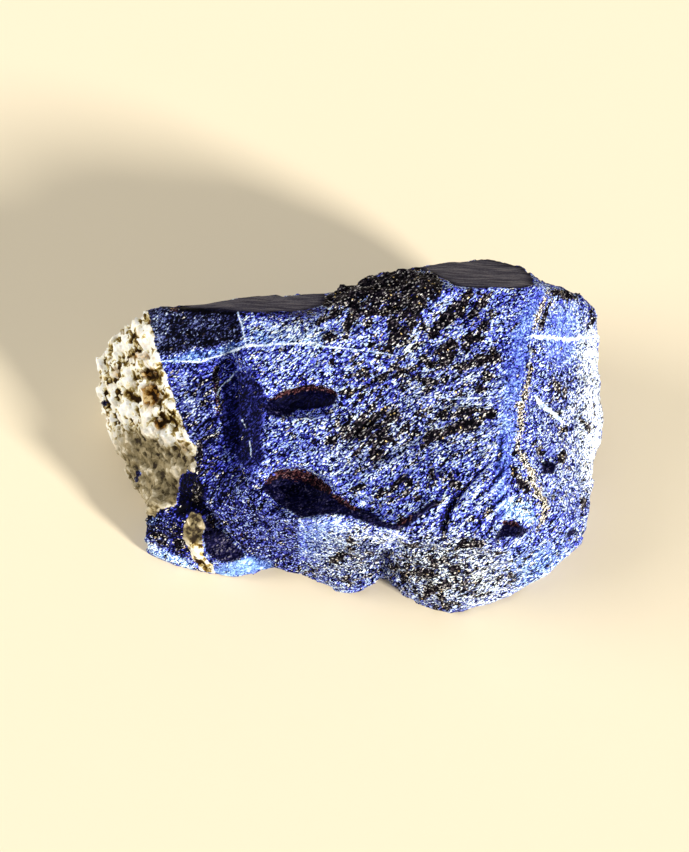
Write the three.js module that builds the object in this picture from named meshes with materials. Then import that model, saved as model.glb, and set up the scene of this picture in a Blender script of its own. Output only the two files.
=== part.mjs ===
// A rough piece of lapis lazuli, in millimetres, +Z up, lying on its flat underside.
//
// The stone is one solid. It broke out of the rock along joints and natural fractures, so its form
// is a set of overlapping blocks with flat faces, hollowed by shell-shaped fractures and trimmed by
// two straight joint faces at the back. A crust of calcite forms its left end (-X), and its front
// is at -Y.
//
// Each point of the surface is found along a ray from a heart point inside the stone: the ray runs
// to the far side of the outermost block, gains the roughness of broken rock, and is cut short by
// the notches, the hollows, the joint faces and the flat underside.
import * as THREE from "three";
import { ConvexHull } from "three/addons/math/ConvexHull.js";
import { ImprovedNoise } from "three/addons/math/ImprovedNoise.js";
import { mergeVertices } from "three/addons/utils/BufferGeometryUtils.js";

// ---- Driving dimensions ----

const heart = new THREE.Vector3(0, -2, 8);
const halfSize = new THREE.Vector3(47, 30, 27); // spreads the facets evenly over the stone
const depthBelowHeart = 9; // takes the place of the last half size below the heart
const facetDetail = 21; // 20 * (facetDetail + 1)^2 triangles in all
const crowding = 0.3; // how far the facets crowd towards the top, which has the finest forms
const snapReach = 0.42; // how far a facet's corner slides to an edge, as a share of its side
const sunk = -2; // the blocks reach down to here, and the flat underside at 0 cuts them off

// ---- The blocks, each the convex solid of its corners and of a core around the heart ----

const core = [[-3, -5, 5], [3, -5, 5], [0, 3, 5], [0, -2, 13]];

const blocks = {
  // Under the broad main face. Its rim is the sharp edge at the front of that face.
  main: [
    [-19.5, 12.7, 32.6], [-5, 12.2, 33], [-3.5, 4.5, 33.4], [5.5, 10.5, 35], [14, 14, 36.2],
    [21.5, 14.6, 36.4], [30, 15.6, 35.2], [34, 17, 33.6],
    [-1.5, 18.4, 31], [7, 21.5, 31], [12, 23, 31.5],
    [27.5, 5, 32.9], [26.3, -5.5, 31], [24, -17.5, 28], [22, -28.2, 24.1],
    [29.8, 3, 31.2], [28.8, -5.5, 30], [27.5, -13, 28.2],
    [24.5, -28.5, 23.5], [15.5, -28, 24], [6, -27.5, 24], [-1, -25.3, 24.5], [-8.5, -25.3, 24.5],
    [-15.5, -20, 25], [-20, -15.5, 25.3], [-20.5, 4, 31.2],
    [-14, 20.5, 23.5], [6, 28, 20], [27, 31.2, 23.4], [33, 26.2, 26.2], [35, 21.6, 28],
    [-12, 22, sunk], [6, 26, sunk], [27, 26, sunk], [34, 20, sunk],
    [26, -24, sunk], [0, -25, sunk], [-12, -22, sunk],
  ],
  // The tilted plate at the back left. Its front edge is a low step across the stone.
  plate: [
    [-37.5, 15.5, 28.3], [-29, 14, 30.6], [-20, 12.5, 32.6],
    [-35.5, 7, 27.4], [-28, 7.2, 29.6], [-20.5, 6, 31.3], [-34.5, 4.5, 25.3],
    [-37, 19, 22], [-12, 22.3, 23], [-32, 17, sunk], [-8, 22, sunk],
  ],
  // The lower shoulder in front of the plate.
  shoulder: [
    [-34.5, 8, 26], [-22, 8, 25.6], [-31, -4, 24.7], [-23.5, -3, 24.8], [-27.5, -13, 22.7],
    [-21, -14, 22.9], [-26.5, -18, 20.6], [-19.5, -17.5, 22.4],
    [-12, -18, 21.5], [-33, 8, 4], [-33, -12, 4], [-12, -18, sunk],
  ],
  // The calcite crust.
  crust: [
    [-37.2, 15.4, 28], [-41.5, 17.3, 20], [-45.4, 16.6, 17], [-48.6, 14.2, 13],
    [-48.2, 6.5, 11], [-45.4, 0.5, 9], [-40.2, -5.5, 8], [-38.5, -13, 7], [-35, 6, 26.9],
    [-31.4, -4, 24.7], [-28, -13, 22.3], [-28, -17, 18],
    [-41, 17, 2], [-44, 5, sunk], [-36, -14, sunk],
  ],
  // The flank to the right of the long ridge.
  flank: [
    [34.5, 16.5, 33.2], [29.8, 3, 31.1], [28.8, -5.5, 29.9], [27.5, -13, 28.1],
    [24.5, -28.5, 23.4], [33.4, -21.5, 21], [36, 20.1, 28.2], [43.4, 20.4, 25.6],
    [46.4, 20.4, 22.6], [46.6, 18, 18], [47.4, 10, 14], [47.2, 0, 11], [45.6, -9, 9.5],
    [43.3, -17.5, 9], [42, -22, 6], [37, -26.3, 4], [31, -29.3, 2],
    [36, 22.1, 26.6], [43.5, 22.4, 24], [46.2, 22.2, 21], [36, 25, 20], [44, 23.5, 16],
    [41, 20, 4], [38, 20, sunk], [42, -8, sunk], [34, -24, sunk],
  ],
  // The ledge under the rim.
  ledge: [
    [-8.5, -25.1, 24.3], [-1, -25.1, 24.3], [6, -27.3, 23.8], [4.5, -29.2, 6], [0, -29.9, 3],
    [-9, -27.8, 5.5], [-8, -25, sunk], [3, -26.5, sunk],
  ],
  // The blunt nose at the front right.
  nose: [
    [8, -27.5, 23.8], [15.5, -28, 23.8], [24.5, -28.5, 23.3], [8.8, -30, 5], [12.5, -31.2, 3],
    [20, -33.8, 1], [31, -29.2, 2], [19, -33.4, sunk], [11.5, -29.5, sunk], [29, -27.5, sunk],
  ],
  // The lobe below the shoulder.
  lobe: [
    [-26, -20, 19.5], [-27, -13, 21.5], [-19.5, -17, 23], [-15.5, -20, 25], [-8.5, -25.1, 24.3],
    [-9, -27.8, 5.5], [-14.5, -26.7, 8.5], [-19, -25.4, 12], [-8, -23, sunk],
  ],
  // The foot at the front left corner, half calcite.
  foot: [
    [-36.8, -17, 14], [-38, -21, 4], [-37.3, -20, sunk], [-29, -23.3, sunk], [-24.5, -25.8, sunk],
    [-20.5, -25.8, 1], [-15, -25, 3], [-20, -24, 5], [-28, -18.5, 13], [-35.5, -10, 12],
    [-32, -8, sunk],
  ],
};

// ---- Notches with flat sides, each the convex solid of its corners ----

const notches = [
  // The leaning facet between the main face and the shoulder.
  [
    [-20.2, 5, 30.8], [-15.1, -3.8, 28.9], [-15.6, -9, 27.9], [-16.8, -15.2, 25.9],
    [-23.6, -2.2, 24.8], [-22.5, -10, 23.5], [-20.6, -15.4, 22.6],
    [-20.2, 5, 45], [-15.1, -3.8, 45], [-16.8, -15.2, 45], [-23.6, -2.2, 45], [-20.6, -15.4, 45],
  ],
  // The recess under the lobe, above the foot.
  [
    [-26.5, -19.5, 18.5], [-22.5, -23.5, 14], [-18.5, -25.8, 10.3], [-15.5, -26.8, 8.2],
    [-25, -14, 14], [-18.5, -16, 9.5], [-15.5, -20, 5.5], [-25.5, -17, 6],
    [-27, -20, 12], [-26.3, -24.5, 4.5], [-19, -26.5, 4.4],
    [-26.5, -30, 18.5], [-15.5, -34, 8.2], [-27, -30, 12], [-26.3, -33, 4.5], [-19, -34, 4.4],
  ],
];

// ---- Hollows with curved sides: ellipsoids, turned about X, Y and Z in degrees ----

const hollows = [
  // The deep shell behind the rim, and its shallow tail to the right.
  { centre: [-9.6, -20.8, 26.6], half: [7, 4.8, 7], turns: [10, 0, -8] },
  { centre: [-0.6, -22.9, 26], half: [9.5, 2.2, 3.6], turns: [0, 0, -14] },
  // The small shell above it.
  { centre: [-8.7, -4.9, 30], half: [7.2, 3.3, 3.4], turns: [0, 0, -3] },
  // The socket at the foot of the ridge.
  { centre: [27.6, -26.2, 23], half: [3.6, 2.4, 2.6], turns: [0, 0, 0] },
  // The pit in the right flank, and the nick below it.
  { centre: [35.9, -11.8, 21.4], half: [2.4, 3, 2.8], turns: [0, 0, 0] },
  { centre: [40.5, -22.5, 11.3], half: [2, 1.8, 1.6], turns: [0, 0, 0] },
];

// ---- Soft swells, and dips where the height is negative ----

const swells = [
  // The dish of the main face, and two ribs at its lower right.
  { centre: [5, -8, 29], half: [24, 20, 20], turns: [0, 0, 0], height: -1.6 },
  { centre: [21, -20, 26.5], half: [9, 1.6, 6], turns: [0, 0, 54], height: 0.8 },
  { centre: [16.5, -19, 27], half: [8, 1.4, 6], turns: [0, 0, 50], height: 0.6 },
  // The dip of the right flank.
  { centre: [34, -2, 25], half: [4, 9, 9], turns: [0, 0, 10], height: -1.2 },
  // Lumps of the crust.
  { centre: [-44, 8, 16], half: [5, 7, 6], turns: [0, 0, 0], height: 1 },
  { centre: [-38, 12, 23], half: [4, 4, 4], turns: [0, 0, 0], height: 0.8 },
  { centre: [-37, -4, 18], half: [4, 5, 5], turns: [0, 0, 0], height: 0.8 },
];

// ---- Joint faces: flat cuts that share one direction, each up to a side wall ----

const jointNormal = new THREE.Vector3(0.05, 0.62, 0.78).normalize();
const joints = [
  // Behind the plate.
  { offset: 31.9, side: new THREE.Vector3(-0.714, 0.625, 0.3125).normalize(), sideOffset: 20.3 },
  // Behind the main face.
  { offset: 38.5, side: new THREE.Vector3(0.8, 0.35, 0.49).normalize(), sideOffset: 30 },
];

// ---- Roughness of broken rock: layers of noise, from broad to fine ----

const noise = new ImprovedNoise();
const layers = [
  { wavelength: 14, height: 0.9, shift: 0 },
  { wavelength: 7, height: 0.5, shift: 7 },
  { wavelength: 3.6, height: 0.3, shift: 14 },
];

function roughness(point) {
  return layers.reduce((sum, { wavelength, height, shift }) => {
    const [x, y, z] = point.toArray().map((value) => value / wavelength);
    return sum + height * noise.noise(x + shift, y, z + shift / 2);
  }, 0);
}

// ---- Solids that cut or build the stone ----

function convexSolid(corners) {
  return new ConvexHull().setFromPoints(corners.map((corner) => new THREE.Vector3(...corner)));
}

// Carries a point into the frame in which a turned ellipsoid is the unit ball.
function unitFrame({ centre, half, turns }) {
  const angles = new THREE.Euler(...turns.map(THREE.MathUtils.degToRad));
  const quaternion = new THREE.Quaternion().setFromEuler(angles);
  return new THREE.Matrix4()
    .compose(new THREE.Vector3(...centre), quaternion, new THREE.Vector3(...half))
    .invert();
}

const blockSolids = Object.values(blocks).map((corners) => convexSolid([...corners, ...core]));
const notchSolids = notches.map(convexSolid);
const hollowFrames = hollows.map(unitFrame);
const swellFrames = swells.map(unitFrame);
const jointSolids = joints.map(({ offset, side, sideOffset }) => ({
  faces: [
    { normal: jointNormal.clone().negate(), constant: -offset },
    { normal: side.clone().negate(), constant: -sideOffset },
  ],
}));

function swelling(point) {
  return swellFrames.reduce((sum, toUnit, k) => {
    const square = Math.min(1, point.clone().applyMatrix4(toUnit).lengthSq());
    return sum + swells[k].height * (1 - square) ** 2;
  }, 0);
}

// ---- The surface along one ray ----

// Where a ray from the heart enters and leaves a convex solid, and the normal of each face it meets.
function crossFaces(faces, direction) {
  const crossing = { enter: -Infinity, leave: Infinity, entryNormal: null, exitNormal: null };
  for (const { normal, constant } of faces) {
    const climb = normal.dot(direction);
    const reach = (constant - normal.dot(heart)) / climb;
    if (climb > 0 && reach < crossing.leave) {
      crossing.leave = reach;
      crossing.exitNormal = normal;
    }
    if (climb < 0 && reach > crossing.enter) {
      crossing.enter = reach;
      crossing.entryNormal = normal;
    }
  }
  return crossing;
}

function crossBall(toUnit, direction) {
  const from = heart.clone().applyMatrix4(toUnit);
  const step = heart.clone().add(direction).applyMatrix4(toUnit).sub(from);
  const stepLength = step.length();
  const middle = -from.dot(step) / stepLength;
  const halfChordSquare = 1 - from.lengthSq() + middle * middle;
  if (halfChordSquare <= 0) return { enter: Infinity, leave: -Infinity };
  const halfChord = Math.sqrt(halfChordSquare);
  return { enter: (middle - halfChord) / stepLength, leave: (middle + halfChord) / stepLength };
}

// Names a flat face by its direction, so that all the triangles of one face share the name.
function faceName(group, index, normal) {
  return `${group}${index}:${normal.toArray().map((value) => value.toFixed(2))}`;
}

// Distance from the heart to the surface, and the name of the face that the ray meets.
function surfaceAlong(direction) {
  let reach = 0;
  let face = "";

  blockSolids.forEach(({ faces }, k) => {
    const { enter, leave, exitNormal } = crossFaces(faces, direction);
    if (enter < leave && leave > reach) {
      reach = leave;
      face = faceName("block", k, exitNormal);
    }
  });
  const smooth = direction.clone().multiplyScalar(reach).add(heart);
  reach += roughness(smooth) + swelling(smooth);

  function cutShort({ enter, leave }, name) {
    if (enter > 0 && enter < reach && leave > reach) {
      reach = enter;
      face = name;
    }
  }
  [notchSolids, jointSolids].forEach((solids, group) => {
    solids.forEach(({ faces }, k) => {
      const crossing = crossFaces(faces, direction);
      if (crossing.entryNormal) {
        cutShort(crossing, faceName(group === 0 ? "notch" : "joint", k, crossing.entryNormal));
      }
    });
  });
  hollowFrames.forEach((toUnit, k) => cutShort(crossBall(toUnit, direction), `hollow${k}`));
  if (direction.z < 0) cutShort({ enter: -heart.z / direction.z, leave: Infinity }, "underside");
  return { reach, face };
}

// ---- The mesh ----

// Spreads the corners of a unit ball's facets evenly over a low, wide stone, denser at its top.
function directionOf(unit) {
  const height = unit.z + crowding * (1 - unit.z ** 2);
  const narrowing = Math.sqrt(Math.max(0, 1 - height ** 2) / Math.max(1e-9, 1 - unit.z ** 2));
  const depth = height > 0 ? halfSize.z : depthBelowHeart;
  return new THREE.Vector3(
    unit.x * narrowing * halfSize.x,
    unit.y * narrowing * halfSize.y,
    height * depth,
  ).normalize();
}

// The sides of all triangles, each once, as pairs of corner numbers.
function sidesOf(index) {
  const sides = new Map();
  for (let i = 0; i < index.length; i += 3) {
    const corners = [index[i], index[i + 1], index[i + 2]];
    corners.forEach((a, k) => {
      const b = corners[(k + 1) % 3];
      sides.set(`${Math.min(a, b)},${Math.max(a, b)}`, [a, b]);
    });
  }
  return [...sides.values()];
}

// Slides directions onto the edges between faces, so that those edges come out sharp.
function snapToEdges(directions, index) {
  const halvings = 12;
  const faces = directions.map((direction) => surfaceAlong(direction).face);
  const moves = directions.map(() => ({ share: snapReach, to: null }));
  for (const [a, b] of sidesOf(index)) {
    if (faces[a] === faces[b]) continue;
    const between = (share) => directions[a].clone().lerp(directions[b], share).normalize();
    let low = 0;
    let high = 1;
    for (let step = 0; step < halvings; step += 1) {
      const middle = (low + high) / 2;
      if (surfaceAlong(between(middle)).face === faces[a]) low = middle;
      else high = middle;
    }
    const lowIsOuter = surfaceAlong(between(low)).reach > surfaceAlong(between(high)).reach;
    const to = between(lowIsOuter ? low : high);
    if (low < moves[a].share) moves[a] = { share: low, to };
    if (1 - low < moves[b].share) moves[b] = { share: 1 - low, to };
  }
  moves.forEach(({ to }, i) => {
    if (to) directions[i].copy(to);
  });
}

function makeStone() {
  const ball = new THREE.IcosahedronGeometry(1, facetDetail);
  ball.deleteAttribute("normal");
  ball.deleteAttribute("uv");
  const geometry = mergeVertices(ball, 1e-5);
  const position = geometry.getAttribute("position");
  const directions = [];
  for (let i = 0; i < position.count; i += 1) {
    directions.push(directionOf(new THREE.Vector3().fromBufferAttribute(position, i)));
  }
  snapToEdges(directions, geometry.index.array);
  directions.forEach((direction, i) => {
    const { reach, face } = surfaceAlong(direction);
    const point = direction.clone().multiplyScalar(reach).add(heart);
    position.setXYZ(i, point.x, point.y, face === "underside" ? 0 : point.z);
  });

  // The origin is the middle of the stone's outline, on the surface that it lies on.
  geometry.computeBoundingBox();
  const middle = geometry.boundingBox.getCenter(new THREE.Vector3());
  geometry.translate(-middle.x, -middle.y, 0);
  geometry.computeVertexNormals();
  return geometry;
}

const stone = new THREE.Mesh(
  makeStone(),
  new THREE.MeshStandardMaterial({ color: 0x2c44a8, roughness: 0.7, metalness: 0 }),
);
stone.name = "lapis_lazuli_stone";

const part = new THREE.Group();
part.add(stone);
export default part;
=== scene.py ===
"""A rough piece of lapis lazuli, about 96 mm long, lying on its flat underside on pale paper."""

import math

import bpy
import numpy as np
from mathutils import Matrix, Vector, noise


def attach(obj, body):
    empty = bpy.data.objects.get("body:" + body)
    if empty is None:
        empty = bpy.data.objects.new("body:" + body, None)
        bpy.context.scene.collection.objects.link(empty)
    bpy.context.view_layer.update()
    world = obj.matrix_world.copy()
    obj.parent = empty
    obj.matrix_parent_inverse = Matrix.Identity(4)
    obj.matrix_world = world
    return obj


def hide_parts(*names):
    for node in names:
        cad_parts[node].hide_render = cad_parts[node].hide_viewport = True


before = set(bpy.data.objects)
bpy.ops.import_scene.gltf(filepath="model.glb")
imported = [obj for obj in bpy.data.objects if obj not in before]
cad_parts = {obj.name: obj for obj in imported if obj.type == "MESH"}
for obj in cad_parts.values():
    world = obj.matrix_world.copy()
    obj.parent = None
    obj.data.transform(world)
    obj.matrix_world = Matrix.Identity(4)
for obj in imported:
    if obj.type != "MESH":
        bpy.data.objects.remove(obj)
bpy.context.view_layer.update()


# ==== The stone: its skin ====
# One piece of lapis lazuli that broke out of the rock along joints and natural fractures. The
# skin starts from the solid's own faces, remade as one even net of small meshes, with the flat
# facets ground away so that it can take the relief of broken rock.

WELD_REACH = 1e-6  # corners closer than this are one, m
SKIN_STEP = 0.00038  # side of the net's meshes, m
GRINDING = 3  # rounds of evening out that take away the flat facets
BROADENING = 12  # rounds that leave only the lie of the broad faces
UNDERSIDE_REACH = 0.3  # corners lower than this belong to the flat underside, mm
MM = 1000.0

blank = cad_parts["lapis_lazuli_stone"].data.copy()
stone = bpy.data.objects.new("rough_stone", blank)
bpy.context.scene.collection.objects.link(stone)
weld = stone.modifiers.new("weld", "WELD")
weld.merge_threshold = WELD_REACH
skin = stone.modifiers.new("skin", "REMESH")
skin.mode = "VOXEL"
skin.voxel_size = SKIN_STEP
body = bpy.data.meshes.new_from_object(
    stone.evaluated_get(bpy.context.evaluated_depsgraph_get())
)
stone.modifiers.clear()
stone.data = body
bpy.data.meshes.remove(blank)


def corners_of(mesh):
    """The mesh's corners, in millimetres."""
    flat = np.empty(len(mesh.vertices) * 3, np.float32)
    mesh.vertices.foreach_get("co", flat)
    return flat.reshape(-1, 3).astype(float) * MM


def put_corners(mesh, points):
    """Moves the mesh's corners to points in millimetres."""
    mesh.vertices.foreach_set("co", (points / MM).astype(np.float32).ravel())
    mesh.update()


def normals_of(mesh):
    """The way that the mesh faces at each corner."""
    flat = np.empty(len(mesh.vertices) * 3, np.float32)
    mesh.vertex_normals.foreach_get("vector", flat)
    return flat.reshape(-1, 3).astype(float)


sides = np.empty(len(body.edges) * 2, np.int32)
body.edges.foreach_get("vertices", sides)
sides = sides.reshape(-1, 2)
ends = np.concatenate([sides[:, 0], sides[:, 1]])
others = np.concatenate([sides[:, 1], sides[:, 0]])
neighbours = np.bincount(ends, minlength=len(body.vertices))


def evened(values, rounds):
    """Averages each corner's values with its neighbours' over and over."""
    for _ in range(rounds):
        sums = [np.bincount(ends, column[others], len(neighbours)) for column in values.T]
        values = (values + np.array(sums).T / neighbours[:, None]) / 2
    return values


netted = corners_of(body)
ground = evened(netted, GRINDING)
underside = netted[:, 2] < UNDERSIDE_REACH
ground[underside, 2] = netted[underside, 2]
put_corners(body, ground)
normals = normals_of(body)
broad_normals = evened(normals, BROADENING)
broad_normals /= np.linalg.norm(broad_normals, axis=1)[:, None]


# ---- The sheet of marks ----
# The stone's marks are laid out on a sheet that faces it from in front and 60 degrees above. A
# mark lies where the sight line through its place on the sheet meets the stone.

SHEET_TILT = math.radians(60)
SHEET_FOCUS = np.array([-0.906, -1.533, 17.0])  # where the middle sight line goes, mm
SHEET_STAND_OFF = 261.0  # from there back to where the sight lines meet, mm
SHEET_MIDDLE = (344.5, 426.0)
SHEET_REACH = 1420.0  # sheet units per unit of tangent
SHEET_UNIT = SHEET_STAND_OFF / SHEET_REACH  # size of a sheet unit on the stone, mm
GAP = -3.0  # half width that stands for a gap in a path

towards_eye = np.array([0, -math.cos(SHEET_TILT), math.sin(SHEET_TILT)])
sheet_up = np.array([0, math.sin(SHEET_TILT), math.cos(SHEET_TILT)])
eye = SHEET_FOCUS + towards_eye * SHEET_STAND_OFF

sight = ground - eye
depth = -(sight @ towards_eye)
across = SHEET_MIDDLE[0] + SHEET_REACH * sight[:, 0] / depth
down = SHEET_MIDDLE[1] - SHEET_REACH * (sight @ sheet_up) / depth


def smooth_step(low, high, values):
    """0 at low, 1 at high, smooth between."""
    share = np.clip((values - low) / (high - low), 0, 1)
    return share * share * (3 - 2 * share)


# The marks fade out where the stone turns away from the sheet, the larger ones a little later.
seen = smooth_step(-0.05, 0.3, broad_normals @ towards_eye)
seen_edge = smooth_step(-0.22, -0.05, broad_normals @ towards_eye)


def beside(path):
    """Signed distance from a path on the sheet, and the path's half width where it is nearest.

    The path is a row of places, each with the half width there. It goes on at both ends as a gap,
    so that the distance keeps its sign."""
    path = np.array(path, float)
    run_in = path[0] + (path[0] - path[1]) * 300 / np.hypot(*(path[0] - path[1])[:2])
    run_out = path[-1] + (path[-1] - path[-2]) * 300 / np.hypot(*(path[-1] - path[-2])[:2])
    run_in[2] = run_out[2] = GAP
    near_in, near_out = path[0] * 0.99 + run_in * 0.01, path[-1] * 0.99 + run_out * 0.01
    near_in[2] = near_out[2] = GAP
    path = np.vstack([run_in, near_in, path, near_out, run_out])
    best = np.full(len(across), 1e9)
    side = np.ones(len(across))
    width = np.full(len(across), GAP)
    for (x0, y0, w0), (x1, y1, w1) in zip(path[:-1], path[1:]):
        dx, dy = x1 - x0, y1 - y0
        share = np.clip(((across - x0) * dx + (down - y0) * dy) / (dx * dx + dy * dy), 0, 1)
        reach = np.hypot(across - x0 - share * dx, down - y0 - share * dy)
        nearer = reach < best
        best = np.where(nearer, reach, best)
        side = np.where(nearer, np.sign(dx * (down - y0) - dy * (across - x0)), side)
        width = np.where(nearer, w0 + share * (w1 - w0), width)
    return best * side, width


def vein(*path):
    """Signed distance from a vein, and its half width there, which is negative in its gaps."""
    reach, width = beside(path)
    return reach, np.where(seen > 0.1, width, GAP)


def stroke(*path):
    """1 along a soft stroke, fading to 0 past its half width."""
    reach, width = beside(path)
    return smooth_step(1.5, 0.4, np.abs(reach) / np.maximum(width, 0.01))


def within(*outline):
    """Distance inside an outline on the sheet, negative outside it."""
    points = np.array(outline + outline[:1], float)
    inside = np.zeros(len(across), bool)
    best = np.full(len(across), 1e9)
    for (x0, y0), (x1, y1) in zip(points[:-1], points[1:]):
        dx, dy = x1 - x0, y1 - y0
        share = np.clip(((across - x0) * dx + (down - y0) * dy) / (dx * dx + dy * dy), 0, 1)
        best = np.minimum(best, np.hypot(across - x0 - share * dx, down - y0 - share * dy))
        if dy:
            level = (down >= min(y0, y1)) & (down < max(y0, y1))
            inside ^= level & (across < x0 + (down - y0) * dx / dy)
    return best * np.where(inside, 1, -1)


def patch(x, y, half_width, half_height, turn=0):
    """1 in the middle of an oval patch on the sheet, fading to 0 at its edge."""
    angle = math.radians(turn)
    along = (across - x) * math.cos(angle) - (down - y) * math.sin(angle)
    over = (across - x) * math.sin(angle) + (down - y) * math.cos(angle)
    return smooth_step(1.15, 0.45, np.hypot(along / half_width, over / half_height))


def widened(places, *widths):
    """A path through places on the sheet, with its half width at each."""
    return [(x, y, width) for (x, y), width in zip(places, widths)]


# ---- The run of the rock ----
# The rock was squeezed and sheared as it formed, so its grains and clusters are drawn out along
# streaks, which rise to the right and towards the back.

STREAK = np.array([0.78, 0.6, 0.18])
STREAK /= np.linalg.norm(STREAK)
streak_across = np.cross([-0.1, -0.3, 0.95], STREAK)
streak_across /= np.linalg.norm(streak_across)
streak_out = np.cross(STREAK, streak_across)


def streaked(points, stretch):
    """Points squeezed along the streaks, so that a pattern drawn there runs with them."""
    return points @ np.stack([STREAK / stretch, streak_across, streak_out], axis=1)


def waves(points, wavelength, shift):
    """Smooth waves of that length at the points, from about -0.5 to 0.5."""
    return np.array([noise.noise(Vector(p)) for p in points / wavelength + shift])


# ---- Pale and dark rock ----
# The blue rock is paler where it holds more calcite and diopside, and deep navy where it is nearly
# all lazurite. Some rows paint light and shade instead, as marked below: painted highlights where
# faces turn to the lamp, painted shade in hollows and creases. Each row of PALER is a stretch of
# the stone and how much paler than the rest it is.

TONE = 0.45  # middle of the blue rock's scale, from 0, nearly black, to 1, white

plate_top = smooth_step(-2, 2, within(
    (146, 314), (150, 303), (177, 303), (189, 307), (236, 311), (239, 318), (243, 332), (241, 340),
    (236, 342), (220, 345), (208, 349), (195, 348), (184, 352), (170, 356), (158, 355), (152, 338)))
leaning_facet = smooth_step(-3, 2, within(
    (223, 386), (234, 374), (242, 370), (252, 378), (262, 388), (267, 402), (263, 414), (262, 440),
    (264, 460), (250, 470), (236, 460), (226, 440), (221, 415)))
block = smooth_step(-2, 2, within(  # under the level vein
    (163, 364), (180, 362), (200, 364), (218, 359), (236, 353), (250, 350), (254, 372), (262, 388),
    (267, 402), (262, 412), (259, 432), (263, 460), (250, 476), (206, 480), (196, 450), (186, 428),
    (172, 392)))
lobe = smooth_step(-2, 2, within(
    (206, 476), (240, 468), (262, 480), (262, 495), (286, 512), (299, 519), (298, 590), (270, 575),
    (248, 556), (226, 534), (206, 512)))
beside_lobe = smooth_step(-1, 2, within(
    (299, 520), (318, 517), (337, 518), (352, 524), (348, 545), (330, 560), (312, 566), (299, 560)))
# Painted shade: the narrow recess between the crust and the lobe is drawn deep navy.
foot_hollow_shade = smooth_step(-3, 3, within(
    (182, 474), (198, 470), (206, 490), (206, 520), (192, 516), (176, 514)))
foot_outside = smooth_step(-3, 3, within(
    (140, 505), (186, 505), (192, 560), (178, 556), (166, 549), (146, 537)))
# Painted highlight: foot_rim and slice_below, low faces that turn towards the lamp, are drawn paler
# and sky-blue.
foot_rim = stroke((146, 543, 3), (157, 552, 4), (170, 556, 4), (182, 562, 4), (193, 570, 3))
slice_below = stroke((213, 573, 6), (236, 569, 9), (254, 564, 9), (272, 566, 5))
level_band = stroke(
    (158, 362, 1.5), (180, 359, 3.5), (192, 356, 6.5), (206, 356, 5.5), (222, 351, 4.5),
    (236, 345, 4), (248, 342, 3))
ridge = stroke(
    (542, 293, 7), (530, 315, 11), (520, 345, 13), (514, 380, 13), (510, 415, 12), (506, 450, 10),
    (503, 475, 8), (500, 500, 6), (503, 520, 3))
pale_patch = smooth_step(-1, 3, within(  # above the small hollow
    (505, 497), (515, 496), (527, 501), (536, 512), (538, 522), (528, 524), (516, 520),
    (504, 520)))
crease_foot = [
    (493, 450), (489, 463), (480, 474), (468, 486), (457, 499), (450, 511), (446, 522), (442, 534)]
crease = [(489, 438), *crease_foot]
PALER = [
    (-0.2, plate_top), (-0.04, leaning_facet), (-0.13, block), (-0.16, lobe), (0.1, beside_lobe),
    (-0.36, foot_hollow_shade), (-0.33, foot_outside), (0.25, foot_rim), (0.18, slice_below),
    (0.02, level_band), (0.07, ridge), (0.2, pale_patch), (0.15, patch(152, 518, 8, 8)),
    (-0.1, patch(178, 530, 8, 16)), (0.12, patch(290, 334, 46, 12)),
    (0.07, patch(300, 366, 44, 20)), (0.15, patch(562, 336, 34, 40)),
    (0.06, patch(450, 410, 60, 50)), (0.07, patch(470, 575, 70, 36, -10)),
    (0.3, stroke((405, 358, 2), (411, 345, 4), (416, 333, 4.5), (430, 321, 4), (442, 306, 3.5),
        (450, 297, 2))),
    # Painted highlight: a paler strip along the right edge, where the lamp falls full on the flank.
    (0.34, stroke((592, 330, 5), (594, 350, 11), (597, 400, 14), (597, 440, 12), (592, 490, 7))),
    (-0.12, patch(560, 392, 18, 22, -30)), (-0.05, patch(556, 345, 14, 40)),
    (0.2, patch(500, 528, 3, 11, -28)), (0.1, patch(575, 440, 20, 70)),
    (0.16, patch(551, 452, 5, 7)), (0.05, patch(345, 530, 40, 14, -8)),
    (-0.06, patch(345, 555, 46, 24)),
    # Painted highlight along the lower lip of the long shell hollow, and on the ledge just below
    # it.
    (0.15, stroke((300, 519, 2), (318, 517, 3), (337, 518, 3), (352, 520, 2))),
    (0.2, stroke((366, 532, 4), (380, 538, 7), (395, 537, 7), (408, 541, 4))),
    (0.18, stroke((470, 607, 5), (500, 600, 6), (530, 588, 7), (555, 570, 7), (572, 550, 6))),
    (-0.35, stroke((180, 309, 2), (240, 312, 3), (270, 312, 3), (300, 314, 3), (325, 311, 3))),
    # Painted shade along the crease and on the lower face to its left, and a painted highlight
    # along its raised right edge.
    (-0.25, stroke(*widened(crease, 2, 3, 3, 3, 3, 3, 3, 2.5, 2))),
    (-0.08, patch(486, 498, 14, 26, -35)),
    (0.1, stroke((499, 460, 1), (494, 466, 2.5), (486, 479, 2.5), (476, 493, 2.5),
        (464, 506, 2.5), (457, 517, 2.5), (450, 528, 2.5))),
    (0.22, patch(192, 406, 14, 9, -20)), (0.16, patch(180, 378, 12, 12)),
    (-0.1, patch(206, 432, 12, 22)), (0.16, patch(156, 330, 12, 26)),
    # Painted shade: this row's second patch darkens the upper shell hollow, and the next row
    # lightens the painted shade in the recess under the lobe.
    (0.12, patch(205, 322, 16, 12)), (-0.22, patch(306, 400, 36, 14)),
    (0.2, patch(226, 548, 16, 14, -40)),
    (0.06, stroke((258, 345, 3), (300, 344, 5), (345, 348, 5))),
]
tone = TONE + sum(amount * place for amount, place in PALER) * seen

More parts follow.
